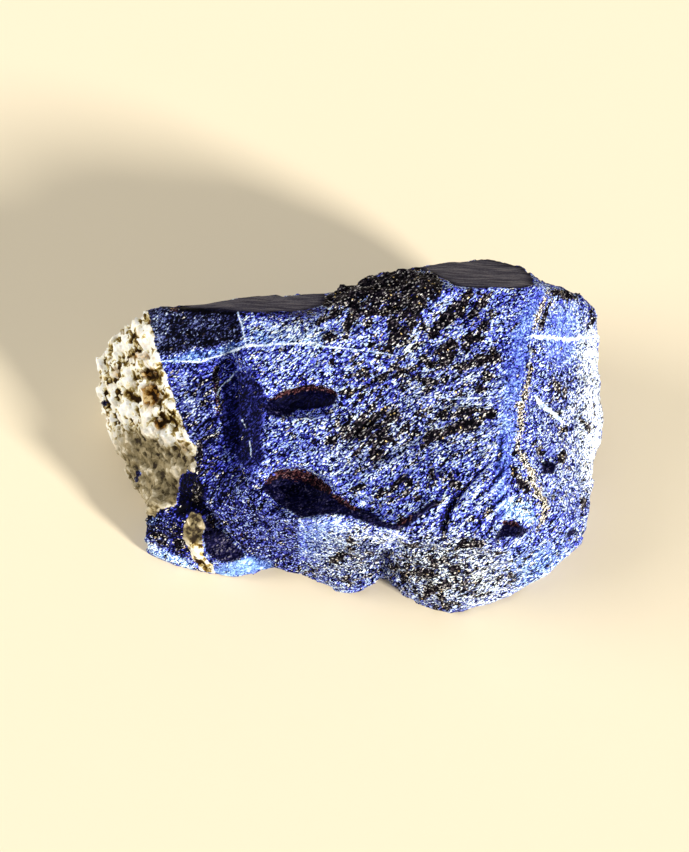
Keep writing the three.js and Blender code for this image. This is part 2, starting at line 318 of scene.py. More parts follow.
# Sky-blue rock, and rock where white and black grains stand among the blue ones. Each row is a
# stretch of the stone and how far it has turned.
SKY_BLUE = [
    (0.8, level_band), (1, pale_patch), (0.9, foot_rim), (1, slice_below), (0.45, ridge),
    (0.6, patch(290, 336, 56, 12)), (0.9, patch(152, 518, 9, 9)), (0.4, patch(566, 336, 34, 40)),
    (0.7, patch(540, 568, 44, 30)), (0.5, patch(325, 540, 36, 26)),
]
MIXED_GRAINS = [
    (1, plate_top), (0.5, leaning_facet), (0.4, lobe), (0.6, patch(372, 440, 70, 40, 15)),
    (0.4, patch(450, 400, 70, 60)), (1, patch(450, 570, 80, 46, -10)),
    (0.5, patch(192, 420, 30, 60)), (0.5, patch(575, 430, 46, 90)), (0.9, patch(350, 555, 50, 34)),
    (0.5, patch(300, 330, 40, 14)), (0.9, patch(590, 420, 22, 120)), (0.6, patch(160, 530, 22, 22)),
]
sky_blue = np.max([amount * place for amount, place in SKY_BLUE], axis=0) * seen
mixed_grains = np.max([amount * place for amount, place in MIXED_GRAINS], axis=0) * seen

# Low right on the face, narrow curved ribs run down beside a crease. Their colour follows their
# height, paler on the crests and darker in the troughs: painted light and shade.
RIB_WIDTH = 4.5  # sheet units
RIB_RUN = 60.0  # sheet units over which a rib changes
rib_line = [(494, 430), *crease_foot]
off_crease, _ = beside(widened(rib_line, *[1] * len(rib_line)))
ribbed = smooth_step(-52, -40, off_crease) * smooth_step(18, 4, off_crease)
ribbed *= smooth_step(430, 446, down) * smooth_step(550, 534, down) * smooth_step(508, 503, across)
rib_places = np.stack([off_crease / RIB_WIDTH, down / RIB_RUN, across * 0], axis=1)
curved_ribs = waves(rib_places, 1.0, 0.0) * ribbed * seen
# Painted light and shade on the ribs.
tone += 0.85 * curved_ribs


# ---- Dark rock with pyrite ----
# Black and brown pyroxene, with specks of pyrite, gathers in clusters that follow the streaks.
# Each row is a cluster and how dense it is.

dark_seam = stroke(
    (217, 366, 2), (216, 378, 2.5), (218, 391, 2.8), (220, 402, 2.8), (222, 415, 2), (222, 424, 1))
DARK_CLUSTERS = [
    # Thinly spread over broad stretches
    (0.2, patch(415, 400, 100, 110, 20)), (0.22, patch(430, 575, 80, 40)),
    (0.15, patch(200, 430, 30, 60)),
    # The left end
    (0.9, dark_seam), (0.7, patch(150, 512, 8, 10)), (0.7, patch(199, 460, 5, 22)),
    (0.8, patch(210, 527, 6, 14)), (0.8, patch(197, 492, 6, 18)), (0.7, patch(180, 545, 7, 8)),
    (0.6, patch(162, 538, 10, 6, -30)),
    # The hump at the back
    (1, stroke((334, 300, 8), (352, 292, 11), (372, 288, 14), (392, 284, 17), (412, 282, 16),
        (430, 286, 14), (440, 284, 9))),
    (0.95, stroke((322, 303, 4), (334, 300, 8), (346, 298, 10))),
    (0.8, stroke((352, 308, 8), (380, 306, 12), (408, 302, 12), (425, 298, 8))),
    (0.7, patch(322, 322, 12, 5, 30)), (0.85, patch(352, 320, 17, 7, 48)),
    (0.6, patch(336, 312, 14, 5, 35)), (0.6, patch(368, 322, 7, 8)), (0.95, patch(393, 323, 8, 8)),
    (0.9, patch(411, 315, 15, 8, 20)),
    # Between the hump and the long ridge
    (0.95, stroke((431, 338, 5), (438, 328, 6), (447, 318, 7), (458, 309, 7), (466, 301, 5),
        (471, 290, 3))),
    (0.9, patch(478, 339, 9, 5)), (0.5, patch(467, 347, 6, 4, 30)),
    (0.4, patch(488, 316, 14, 7, 20)), (1, stroke((436, 355, 5), (446, 353, 7), (455, 343, 5))),
    (0.85, stroke((419, 356, 3), (428, 364, 4), (440, 367, 4), (451, 359, 4))),
    (0.9, patch(494, 355, 7, 11, 10)), (0.7, patch(478, 361, 5, 9)),
    (0.6, stroke((455, 352, 4), (470, 338, 5), (486, 326, 5))),
    (0.7, stroke((470, 318, 4), (482, 302, 5), (492, 292, 4))),
    # The upper middle of the main face
    (0.7, stroke((384, 350, 3), (396, 341, 5), (408, 330, 5), (418, 318, 5))),
    (0.7, stroke((455, 372, 3), (468, 365, 5), (482, 360, 6), (494, 352, 5))),
    (0.6, stroke((404, 372, 3), (416, 366, 4), (428, 358, 4))), (0.95, patch(399, 338, 13, 6, 22)),
    (0.65, patch(368, 345, 9, 4)), (0.45, patch(328, 336, 10, 7)),
    (0.5, patch(346, 334, 12, 6, 40)), (0.45, patch(488, 376, 10, 8)),
    (0.85, patch(397, 372, 8, 11)), (0.6, patch(384, 377, 8, 6, 30)),
    (0.75, patch(361, 371, 9, 5, 55)), (0.6, patch(378, 364, 6, 4)), (0.5, patch(332, 358, 5, 13)),
    (0.85, patch(429, 382, 15, 5, -6)), (0.8, patch(479, 388, 7, 7)), (0.45, patch(458, 391, 6, 7)),
    (0.45, patch(360, 390, 22, 8, 8)),
    # The lower middle of the main face
    (0.8, patch(376, 420, 16, 12, 30)), (0.7, patch(352, 432, 8, 5, 40)),
    (0.75, patch(388, 440, 10, 6, 40)), (0.85, patch(390, 415, 10, 6, 30)),
    (0.55, patch(418, 416, 9, 6, 40)), (0.8, patch(443, 415, 8, 6, 40)),
    (0.6, patch(366, 424, 44, 18, 15)), (0.55, patch(376, 430, 26, 32, 20)),
    (0.95, stroke((421, 448, 3), (432, 436, 5), (445, 433, 5), (456, 428, 5), (468, 425, 6),
        (481, 420, 4))),
    (0.6, stroke((456, 416, 3), (475, 411, 4), (495, 416, 5))), (0.75, patch(333, 438, 11, 7, 40)),
    (0.8, patch(367, 436, 14, 13, 20)), (0.75, patch(374, 454, 8, 9)),
    (0.65, patch(356, 451, 8, 6, 30)), (0.5, patch(410, 428, 16, 7, 25)),
    (0.6, patch(358, 489, 11, 5, 28)), (0.6, patch(384, 498, 7, 5, 10)),
    (0.45, patch(438, 476, 18, 7, 20)), (0.8, patch(457, 486, 9, 6)),
    (0.85, patch(433, 505, 8, 4, 15)), (0.5, patch(487, 512, 5, 8, -30)),
    (0.4, patch(400, 490, 40, 14, 15)),
    # The blunt nose and the ledge
    (0.85, patch(413, 546, 12, 5, -8)),
    (0.9, stroke((454, 548, 3), (465, 543, 4), (483, 544, 3.5))), (0.5, patch(453, 556, 10, 5, 20)),
    (0.9, patch(435, 565, 6, 6)), (0.9, patch(455, 570, 9, 6, 35)),
    (0.85, stroke((403, 583, 3), (404, 573, 4), (420, 572, 4), (433, 576, 4))),
    (0.95, stroke((421, 598, 4), (429, 591, 5), (441, 586, 5), (448, 582, 4))),
    (0.85, patch(442, 596, 4, 8)), (0.65, patch(446, 606, 18, 5, 15)),
    (0.5, patch(398, 566, 10, 6, 20)), (0.55, patch(351, 544, 7, 13)),
    (0.95, patch(338, 558, 12, 5, 25)), (0.6, patch(350, 580, 10, 6)),
    (0.4, patch(310, 570, 14, 8)), (0.6, patch(497, 553, 5, 4)),
    (0.45, patch(470, 586, 20, 12, 20)),
    # The long ridge and the flank to its right
    (0.6, patch(510, 560, 6, 4)), (0.6, patch(512, 579, 6, 12, 20)),
    (0.7, stroke((552, 292, 2), (549, 305, 2.5), (545, 318, 2.5), (540, 330, 2))),
    (0.85, patch(562, 457, 6, 8)), (0.8, patch(525, 487, 5, 7)), (0.6, patch(514, 468, 9, 3, -15)),
    (0.6, patch(538, 449, 5, 5)), (0.6, patch(563, 431, 6, 8)), (0.5, patch(557, 413, 6, 4, 30)),
    (0.6, patch(561, 387, 6, 4)), (0.5, patch(567, 377, 8, 4, -25)),
    (0.85, stroke((580, 418, 2), (587, 427, 3.5), (591, 433, 2))),
    (0.9, stroke((552, 293, 3), (563, 295, 4.5), (577, 298, 3))), (0.6, patch(591, 318, 3, 10)),
    (0.5, patch(529, 375, 3, 16)), (0.5, patch(583, 503, 4, 12)), (0.5, patch(518, 446, 5, 12)),
    (0.85, patch(541, 451, 6, 5)), (0.8, patch(550, 467, 7, 6)), (0.6, patch(558, 388, 14, 8, -30)),
    (0.6, stroke((531, 345, 3), (530, 362, 4), (528, 376, 4))),
    (0.7, stroke((512, 468, 4), (520, 482, 5), (527, 494, 5))),
    (0.6, stroke((536, 398, 2), (545, 408, 3), (556, 417, 3))),
]
darkness = np.max([amount * place for amount, place in DARK_CLUSTERS], axis=0) * seen_edge
darkness *= 1 - 0.9 * leaning_facet

# The far sides carry clusters, and paler and darker rock, of the same kinds.
unseen = 1 - seen_edge
darkness += unseen * smooth_step(0.05, 0.35, waves(streaked(ground, 2.2), 5.0, 4.0)) * 0.85
tone += unseen * (0.3 * waves(ground, 14.0, 9.0) + 0.4 * waves(streaked(ground, 3.0), 3.0, 12.0))

# Specks of pyrite lie in the dark rock, and a few in the blue rock.
rusty_speck = patch(174, 309, 5, 4)
pyrite = np.max([
    0.12 * np.clip(darkness, 0, 1), patch(377, 339, 8, 6), 0.8 * patch(423, 303, 4, 3),
    0.7 * rusty_speck, 0.5 * patch(388, 413, 12, 8), 0.4 * patch(218, 395, 3, 16)], axis=0)


# ---- Hollows ----
# Shell-shaped fractures, a recess under the lobe and a few small pits. Their colour is painted
# shade, near black, which stands in for the shadow that their lips cast. A red-brown rust fringes
# the upper edges of the shells.

HOLLOW_SHADES = [
    within(
        (260, 489), (272, 477), (284, 470), (299, 471), (310, 474), (318, 480), (327, 486),
        (332, 493), (343, 498), (352, 506), (365, 508), (375, 513), (383, 520), (394, 524),
        (402, 518), (418, 511), (433, 501), (437, 504), (425, 514), (412, 524), (399, 531),
        (383, 528), (370, 525), (360, 521), (349, 516), (337, 515), (319, 515), (301, 519),
        (287, 510), (272, 500)),
    within(
        (258, 402), (266, 404), (268, 401), (283, 392), (298, 388), (304, 385), (314, 385),
        (320, 391), (331, 388), (337, 394), (335, 404), (320, 408), (298, 411), (287, 415),
        (275, 418), (266, 412)),
    within(
        (505, 522), (517, 523), (527, 530), (518, 538), (505, 536), (493, 543), (497, 534)),
    within(
        (201, 516), (206, 521), (214, 525), (225, 533), (237, 547), (248, 555), (237, 561),
        (223, 563), (213, 558), (206, 552), (203, 539), (205, 527)),
    within((563, 539), (568, 530), (576, 528), (578, 534)),
    within((540, 464), (548, 461), (556, 466), (554, 473), (544, 474)),
    within((133, 470), (140, 470), (142, 481), (136, 482)),
    within((100, 402), (108, 400), (111, 405), (103, 409)),
]
hollow = np.where(seen > 0.05, np.max(HOLLOW_SHADES, axis=0), -9)
fringe = np.max([
    stroke(
        (266, 484, 1.5), (273, 477, 4), (284, 473, 5), (300, 475, 6), (312, 479, 5.4),
        (322, 486, 4.4), (330, 491, 3)),
    stroke((333, 495, 2), (343, 501, 3.5), (352, 507, 2.5), (360, 510, 1.5)),
    stroke(
        (268, 401, 1), (284, 393, 2.4), (300, 389, 3), (314, 387, 3.4), (330, 390, 3),
        (336, 395, 2)),
    stroke((504, 523, 1.5), (512, 523, 2.5), (519, 525, 1.5)),
    stroke((397, 524, 2), (403, 521, 3.5), (411, 517, 2.5)) * 0.8,
    0.7 * stroke((217, 384, 1.5), (216, 400, 2), (219, 416, 1.2)), 0.8 * rusty_speck,
], axis=0) * seen


# ---- Veins ----
# Thin sheets of white calcite that healed cracks in the rock. Where they come to the surface, they
# show as lines that pinch out and start again. One along the ridge is of cream calcite.


def sheet_vein(normal, through, half_width):
    """A vein that goes on as a wobbling sheet through the far sides: one point of it, in
    millimetres, and the way that the sheet faces."""
    across_sheet = np.array(normal) / np.linalg.norm(normal)
    off_sheet = (ground - through) @ across_sheet
    off_sheet += 1.6 * waves(ground, 12.0, 23.0) + 0.4 * waves(ground, 3.0, 7.0)
    thinning = 1.6 * waves(ground, 5.0, 15.0) + 0.8
    return off_sheet / SHEET_UNIT, np.where(seen <= 0.1, half_width * thinning, GAP)


VEINS = {
    "vein_level": vein(
        (158, 361, 0.2), (180, 361, 0.5), (200, 362, 0.8), (218, 356, 0.8), (235, 350, 1.1),
        (248, 346, 1.6), (260, 345, 1.3), (279, 344, 1.1), (300, 344, 1), (314, 344, 1.5),
        (324, 347, 0.8), (339, 348, 1), (360, 350, 0.4), (382, 353, 0.8), (396, 356, 0.3),
        (412, 358, GAP), (500, 345, GAP), (531, 336, 1), (540, 337, 2), (554, 338, 1.8),
        (570, 340, 2), (583, 338, 2.4), (597, 336, 1.6)),
    "vein_fine": vein(
        (409, 396.5, 0.1), (418, 396, 0.3), (426, 397.5, 0.4), (440, 397, 0.2),
        (452, 399, 0.4), (461, 398, 0.7), (480, 398.5, 0.7), (496, 397, 0.1)),
    "vein_steep": vein(
        (237, 309, 0.5), (239, 318, 0.7), (242, 325, 0.8), (244, 335, 0.8), (246, 344, 1),
        (247, 350, GAP), (243, 416, GAP), (243, 420, 0.8), (245, 425, 0.8), (247, 429, 0.3),
        (247, 432, GAP), (249, 436, GAP), (250, 440, 0.5), (251, 454, 0.6), (252, 458, 0)),
    "vein_slant": vein(
        (216, 396, 0.1), (219, 389, 0.7), (224, 384, 0.7), (229, 380, 0.5), (233, 375, 0.5),
        (235, 372, 0.1)),
    "vein_ridge": vein((532, 334, 0.3), (530, 350, 0.5), (529, 362, 0.3), (527, 374, 0.2)),
    "vein_side": vein(
        (533, 396, 0.4), (538, 401, 2), (546, 408, 2.8), (555, 416, 2.2), (563, 424, 0.4)),
    "vein_level_beyond": sheet_vein((-0.12, 0.95, 0.3), (46.7, 16.5, 19.7), 1.3),
    "vein_steep_beyond": sheet_vein((1, 0.12, -0.1), (-20.3, 14.6, 31.4), 0.9),
    "vein_low_beyond": sheet_vein((0.12, 0.3, 1), (0, 28, 14), 1.1),
}
CREAM_VEINS = {
    "cream_vein": vein(
        (535, 328, GAP), (527, 372, 0.2), (527, 384, 1.6), (525, 392, 3.4), (521, 404, 4.2),
        (522, 415, 3.4), (521, 425, 2.4), (519, 438, 1.6), (520, 449, 2.4), (523, 459, 3.4),
        (528, 468, 4.2), (532, 479, 4.6), (537, 490, 5), (541, 500, 5), (545, 509, 3.4),
        (543, 520, 2.2), (539, 528, 1.2)),
    "cream_vein_top": vein(
        (549, 289, 0.6), (546, 295, 1), (544, 302, 1.8), (540, 313, 2.4), (536, 322, 2),
        (534, 331, 0.4), (531, 338, GAP)),
    "cream_vein_beyond": sheet_vein((1, -0.08, -0.2), (36.7, 19.8, 30.5), 3.0),
}


# ---- The calcite crust ----
# Coarse cream calcite that grew along the wall of the lapis. It covers the stone's left end, with
# one tongue of it lower down, stands in rounded lumps, and is rusty in places. Its lower part is
# drawn grey and dull: partly greyer, translucent calcite, partly painted shade where it turns away
# from the light.

crust = within(
    (138, 250), (147, 306), (150, 322), (156, 345), (161, 360), (167, 378), (173, 395),
    (179, 412), (186, 430), (190, 440), (196, 447), (197, 460), (196, 472), (188, 470),
    (181, 475), (179, 487), (175, 506), (160, 509), (157, 516), (147, 514), (110, 512),
    (60, 512), (60, 250))
tongue = within(
    (191, 513), (201, 514), (205, 526), (202, 543), (204, 557), (212, 564), (214, 573),
    (201, 571), (195, 564), (191, 552), (184, 537), (183, 529))
crust = np.maximum(crust, np.where(seen > 0.2, tongue, -9))
on_crust = smooth_step(-3, 3, crust)
rust = np.max([
    patch(152, 396, 9, 15), 0.9 * patch(161, 424, 7, 8, 40), 0.5 * patch(142, 356, 16, 5, -6),
    0.5 * patch(116, 372, 5, 9), 0.5 * patch(108, 334, 8, 5), 0.6 * patch(150, 374, 10, 7),
    0.5 * patch(186, 446, 8, 8), 0.5 * patch(150, 502, 10, 4)], axis=0) * seen
# Painted shade: the crust's lower part is drawn greyer and duller.
grey_calcite = smooth_step(-10, 14, within(
    (118, 425), (150, 428), (170, 440), (200, 452), (200, 480), (176, 512), (140, 516), (110, 450)))
grey_calcite = np.maximum(grey_calcite, smooth_step(548, 536, down) * smooth_step(500, 512, down))

# ---- The joint faces ----
# Two smooth parallel faces at the back, where the rock parted along old joints: flat. Their
# grey-brown colour is painted reflection: the pale room's sheen on the smooth faces, drawn into the
# colour.

JOINT_NORMAL = np.array([0.05, 0.62, 0.78])
JOINT_NORMAL /= np.linalg.norm(JOINT_NORMAL)
JOINT_OFFSETS = (32.63, 39.23)  # from the frame's origin, mm
JOINT_SLACK = 0.35  # the painted reflection ends this far off the flat, mm
OUT_OF_SIGHT = 0.02  # a corner seen less than this is on the far sides
EDGE_SOFTENING = 7  # rounds of evening out the painted reflection's edge
MIDDLE_SOFTENING = 40  # rounds that leave 1 only in the painted reflection's middle
off_joint = np.min([np.abs(ground @ JOINT_NORMAL - offset) for offset in JOINT_OFFSETS], axis=0)
film = smooth_step(JOINT_SLACK, JOINT_SLACK * 0.4, off_joint)
film *= smooth_step(0.9, 0.97, broad_normals @ JOINT_NORMAL)
left_joint_sheen = within(
    (163, 308), (172, 303), (188, 296), (230, 288), (285, 285), (322, 286), (326, 297),
    (322, 306), (300, 311), (280, 312), (235, 312), (200, 309))
right_joint_sheen = within(
    (409, 262), (430, 254), (480, 252), (520, 262), (532, 277), (537, 291), (520, 289), (500, 288),
    (480, 288), (462, 287), (452, 284), (443, 279), (432, 273), (420, 268))
film = np.maximum(film, smooth_step(-1, 1, left_joint_sheen) * (seen > OUT_OF_SIGHT))
film *= smooth_step(-1, 1, np.maximum(left_joint_sheen, right_joint_sheen)) + (seen < OUT_OF_SIGHT)
film *= smooth_step(181, 189, across)  # it stops short of the crust
film = evened(film[:, None], EDGE_SOFTENING)[:, 0]
film_middle = evened(film[:, None], MIDDLE_SOFTENING)[:, 0]

# Down the back the painted reflection's edge is frayed, and it is missing in patches.
frayed = film_middle + 0.7 * waves(ground, 6.0, 31.0) + 0.4 * waves(ground, 2.0, 33.0)
film = np.where(seen < OUT_OF_SIGHT, smooth_step(0.35, 0.6, frayed), film)


# ---- Relief ----
# Broken rock is hackly: small facets, each tilted its own way, along ribs that rise to the right.
# The calcite stands in coarser crystals and lumps. All heights are in millimetres.


def facets(points, size, shift):
    """Height of a hackly surface: cells of that size, each a facet tilted its own way."""
    heights = np.empty(len(points))
    for i, p in enumerate(points / size + shift):
        near = noise.voronoi(Vector(p))[1][0]
        tilt = noise.cell_vector(near * 37.0)
        heights[i] = (Vector(p) - near).dot(tilt) + tilt[0] * 0.35
    return heights


def lumps(points, size, shift):
    """Height of a surface of rounded lumps."""
    return np.array([0.5 - noise.voronoi(Vector(p))[0][0] for p in points / size + shift])


run = streaked(ground, 2.4)
hackle = 0.34 * facets(run, 3.0, 5.0) + 0.2 * facets(run, 1.4, 11.0)
hackle += 0.16 * waves(run, 1.9, 3.0) + 0.08 * waves(run, 0.9, 17.0)
hackle *= 0.9 + 1.2 * darkness
ribs = 1 - 2 * np.abs(waves(streaked(ground, 4.5), 3.4, 8.0))
hackle += 0.42 * (ribs - 0.6) * smooth_step(-14, 8, ground[:, 0])
crusty = 0.8 * facets(ground, 3.8, 2.0) + 0.6 * facets(ground, 1.7, 9.0)
crusty += (
    0.4 * lumps(ground, 2.8, 31.0) + 0.9 * waves(ground, 3.4, 21.0) + 0.2 * waves(ground, 1.3, 6.0)
)

# Where each place on the calcite stands between the lowest, 0, and the highest, 1.
crust_height = np.zeros(len(crusty))
crust_height[crust > -4] = np.argsort(np.argsort(crusty[crust > -4])) / np.sum(crust > -4)
crust_height -= 0.5 * smooth_step(0, 4, tongue) * smooth_step(566, 556, down)
crust_height += 0.28 * np.max([
    patch(136, 319, 8, 10), patch(124, 346, 10, 9), patch(145, 346, 7, 6), patch(118, 416, 15, 14),
    patch(170, 434, 13, 9), patch(112, 372, 8, 8), patch(152, 430, 8, 8)], axis=0)
crust_height -= 0.28 * np.max([
    patch(157, 378, 8, 12), patch(128, 363, 9, 4), patch(113, 337, 6, 4), patch(140, 374, 6, 8),
    patch(134, 398, 6, 5), patch(118, 394, 8, 4), 0.7 * patch(132, 455, 10, 6, 30)], axis=0)

# Some faces broke more smoothly.
smooth_rock = np.max([
    0.6 * plate_top, leaning_facet, 0.2 * block, 0.15 * lobe, 0.8 * foot_hollow_shade,
    0.5 * level_band, 0.8 * ridge, slice_below, 0.8 * patch(561, 338, 20, 38),
    patch(551, 452, 6, 8), 0.5 * beside_lobe], axis=0) * seen

relief = hackle * (1 - on_crust) * (1 - 0.9 * film) * (1 - 0.4 * smooth_rock)
relief += crusty * on_crust * (1 - 0.4 * grey_calcite)
relief += 0.5 * curved_ribs
relief -= 0.5 * stroke(*widened(crease, 1, 2, 2.4, 2.4, 2.4, 2.4, 2.4, 2.2, 2)) * seen
relief -= 0.5 * dark_seam * seen
relief -= 0.25 * fringe
relief *= smooth_step(0.1, 1.2, ground[:, 2])  # the flat underside keeps none
shaped = ground + normals * relief[:, None]
shaped[:, 2] = np.maximum(shaped[:, 2], 0)
put_corners(body, shaped)


def keep(name, values):
    """Stores one number per corner for the finish to read."""
    numbers = body.attributes.new(name, "FLOAT", "POINT").data
    numbers.foreach_set("value", np.asarray(values, np.float32))


for name, values in {
    "tone": tone, "sky_blue": sky_blue, "mixed_grains": mixed_grains, "darkness": darkness,
    "hollow": hollow, "fringe": fringe, "crust": crust, "crust_height": crust_height,
    "rust": rust, "grey_calcite": grey_calcite, "film": film, "film_middle": film_middle,
    "pyrite": pyrite, "smooth_rock": smooth_rock,
}.items():
    keep(name, values)
for name, (reach, width) in {**CREAM_VEINS, **VEINS}.items():
    keep(name, reach)
    keep(name + "_width", width)

KEPT_SHARE = 0.68  # of the net's faces, fewest where the stone is flat
body.polygons.foreach_set("use_smooth", np.ones(len(body.polygons), bool))
thin = stone.modifiers.new("thin", "DECIMATE")
thin.ratio = KEPT_SHARE

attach(stone, "root")
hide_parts("lapis_lazuli_stone")


# ---- Finish ----
# Bare broken rock: dull, with no polish. Its colour is that of its own crystal grains, which the
# marks above make paler, darker, rusty or white from place to place.

ROUGHNESS = 0.55
SHEEN = 0.03  # specular level of the dry, dusty surface
GRAIN = 0.2  # size of the blue rock's crystal grains, mm
FLECK = 0.25  # size of the white and brassy flecks, mm
CRYSTAL = 0.9  # size of the calcite's crystals, mm
BUMP = 0.0002  # height of the grains' own relief, m
BUMP_STRENGTH = 0.5


def linear(red, green, blue):
    """A colour given as 0 to 255 per channel, as light."""
    light = [((c / 255 + 0.055) / 1.055) ** 2.4 if c > 10 else c / 3295 for c in (red, green, blue)]
    return (*light, 1.0)


finish = bpy.data.materials.new("lapis_lazuli")
finish.use_nodes = True
finish.node_tree.nodes.clear()


class Wire:
    """A socket of the finish. Arithmetic on wires adds Math nodes."""

    def __init__(self, socket):
        self.socket = socket

    @staticmethod
    def add(kind, settings=None, inputs=None, output=0):
        """Adds a node: its settings first, then its sockets' values or links."""
        node = finish.node_tree.nodes.new(kind)
        for name, value in (settings or {}).items():
            if name == "stops":
                while len(node.color_ramp.elements) < len(value):
                    node.color_ramp.elements.new(0.5)
                for element, (place, colour) in zip(node.color_ramp.elements, value):
                    element.position = place
                    element.color = colour
            else:
                setattr(node, name, value)
        for name, value in (inputs or {}).items():
            if isinstance(value, Wire):
                finish.node_tree.links.new(value.socket, node.inputs[name])
            else:
                node.inputs[name].default_value = value
        return Wire(node.outputs[output]) if node.outputs else None

    def maths(self, operation, *others):
        inputs = dict(enumerate((self, *others)))
        return Wire.add("ShaderNodeMath", {"operation": operation}, inputs)

    def __add__(self, other):
        return self.maths("ADD", other)

    __radd__ = __add__

    def __mul__(self, other):
        return self.maths("MULTIPLY", other)

    __rmul__ = __mul__

    def __sub__(self, other):
        return self.maths("SUBTRACT", other)

    def __rsub__(self, other):
        return self * -1.0 + other


def stored(name):
    """One of the numbers kept at the corners."""
    return Wire.add("ShaderNodeAttribute", {"attribute_name": name}, output="Fac")


def ramp(factor, *stops):
    """A colour for each value of the factor, between the stops' colours."""
    stops = [(place, linear(*colour)) for place, colour in stops]
    return Wire.add("ShaderNodeValToRGB", {"stops": stops}, {"Fac": factor})


def step(value, low, high):
    """0 below low, 1 above high, smooth between."""
    limits = {"Value": value, "From Min": low, "From Max": high}
    return Wire.add("ShaderNodeMapRange", {"interpolation_type": "SMOOTHSTEP"}, limits)


def blend(factor, under, over):
    """The colour over, laid on the colour under where the factor is 1."""
    inputs = {0: factor, 6: under, 7: over}
    return Wire.add("ShaderNodeMix", {"data_type": "RGBA"}, inputs, output=2)


def speckle(where, size, detail=2.0, roughness=0.6):
    """Noise of that grain size in millimetres, about 0.5 with swings of 0.2."""
    inputs = {"Vector": where, "Scale": 1 / size, "Detail": detail, "Roughness": roughness}
    return Wire.add("ShaderNodeTexNoise", {}, inputs)


def grains(where, size):
    """Three random numbers from 0 to 1 for each crystal grain of that size."""
    inputs = {"Vector": where, "Scale": 1 / size}
    colour = Wire.add("ShaderNodeTexVoronoi", {"feature": "F1"}, inputs, output="Color")
    return [
        Wire.add("ShaderNodeSeparateColor", {}, {"Color": colour}, output=channel)
        for channel in range(3)
    ]


metres = Wire.add("ShaderNodeTexCoord", output="Object")
place = Wire.add("ShaderNodeVectorMath", {"operation": "SCALE"}, {0: metres, "Scale": MM})


def turned_to_streaks(stretch):
    """Places in the stone, turned and squeezed so that a pattern runs with the streaks."""
    parts = {
        axis: Wire.add(
            "ShaderNodeVectorMath", {"operation": "DOT_PRODUCT"}, {0: place, 1: row}, output="Value"
        )
        for axis, row in zip("XYZ", (STREAK / stretch, streak_across, streak_out))
    }
    return Wire.add("ShaderNodeCombineXYZ", {}, parts)


# Blue rock: crystal grains from navy to white, in paler and darker drifts that run with the
# streaks. Where it broke smoothly, the grains differ less.
streaks = turned_to_streaks(2.0)
first, second, third = grains(streaks, GRAIN)
flecks, _, glints = grains(place, FLECK)
fine = speckle(streaks, 0.24, 1.0)
drift = speckle(turned_to_streaks(3.2), 0.8, 3.0)
broad_drift = speckle(place, 4.0, 2.0)
white_flecks = step(flecks, 0.94, 0.96)
spread = 1.0 - stored("smooth_rock") * 0.6
value = (first - 0.5) * 0.95 + (fine - 0.5) * 0.3 + (drift - 0.5) * 1.1 + white_flecks * 0.4
value = stored("tone") + value * spread + (broad_drift - 0.5) * 0.35
lazurite = ramp(
    value,
    (0.0, (0, 0, 6)), (0.24, (2, 3, 34)), (0.35, (13, 15, 82)), (0.45, (42, 42, 154)),
    (0.55, (72, 78, 204)), (0.67, (106, 120, 226)), (0.79, (154, 178, 236)),
    (0.9, (204, 228, 244)), (1.0, (240, 252, 252)),
)
sky = ramp(
    value,
    (0.0, (2, 4, 30)), (0.15, (14, 28, 84)), (0.3, (38, 62, 140)), (0.45, (74, 108, 182)),
    (0.6, (116, 158, 216)), (0.75, (160, 206, 236)), (0.9, (206, 240, 246)),
    (1.0, (242, 255, 255)),
)
mixed = ramp(
    value,
    (0.0, (0, 0, 4)), (0.28, (2, 2, 14)), (0.39, (17, 17, 44)), (0.48, (46, 50, 98)),
    (0.58, (90, 98, 156)), (0.7, (146, 164, 208)), (0.82, (212, 228, 236)),
    (0.92, (244, 252, 250)),
)
in_sky = stored("sky_blue") + (third - 0.5) * 0.7 + (broad_drift - 0.5) * 0.8 - 0.2
blue = blend(in_sky, lazurite, sky)
blue = blend(stored("mixed_grains"), blue, mixed)

# Dark rock: clumps of black and brown grains, with a few cream ones and specks of pyrite.
clumps = speckle(turned_to_streaks(2.3), 1.0, 2.0, 0.55)
clustered = stored("darkness") * 0.8 + (clumps - 0.5) * 2.2 + (second - 0.5) * 0.3
dark = step(clustered - stored("smooth_rock") * 0.15, 0.25, 0.31)
black = ramp(
    third + (fine - 0.5) * 0.3 + 0.06 - stored("darkness") * 0.08,
    (0.0, (0, 0, 2)), (0.5, (2, 2, 10)), (0.7, (16, 11, 20)), (0.82, (44, 34, 42)),
    (0.92, (104, 98, 106)), (1.0, (240, 236, 226)),
)
colour = blend(dark, blue, black)

# Rusty fringes, and painted shade in the hollows.
# Painted shade for the hollows: near-black navy, darker where the tone is lower.
shade = ramp(
    second * 0.7 + fine * 0.3 + (stored("tone") - TONE) * 0.8,
    (0.2, (0, 0, 12)), (0.5, (4, 4, 34)), (0.68, (14, 14, 52)), (0.82, (46, 43, 82)),
    (1.0, (130, 126, 140)),
)
# Where the hollows lie, the colour turns to the painted shade.
in_hollow_shade = step(stored("hollow") + (fine - 0.5) * 5.0, -0.8, 1.0)
colour = blend(in_hollow_shade, colour, shade)
rusty = ramp(
    first * 0.7 + fine * 0.3,
    (0.1, (0, 0, 6)), (0.42, (8, 4, 12)), (0.56, (34, 16, 22)), (0.7, (74, 38, 40)),
    (0.82, (112, 76, 80)), (0.95, (150, 130, 140)),
)
on_fringe = step(stored("fringe") * 1.5 + (second - 0.5) * 1.7 + (drift - 0.5) * 0.9, 0.75, 0.85)
on_fringe = on_fringe * step(stored("fringe"), 0.05, 0.25)
colour = blend(on_fringe, colour, rusty)

# Veins: white, and one of cream calcite broken up by grains of the rock.
WHITE_RAGGEDNESS = 2.6  # how far the grains eat into a vein, sheet units
CREAM_RAGGEDNESS = 11.0
pinches = speckle(place, 1.4, 3.0)


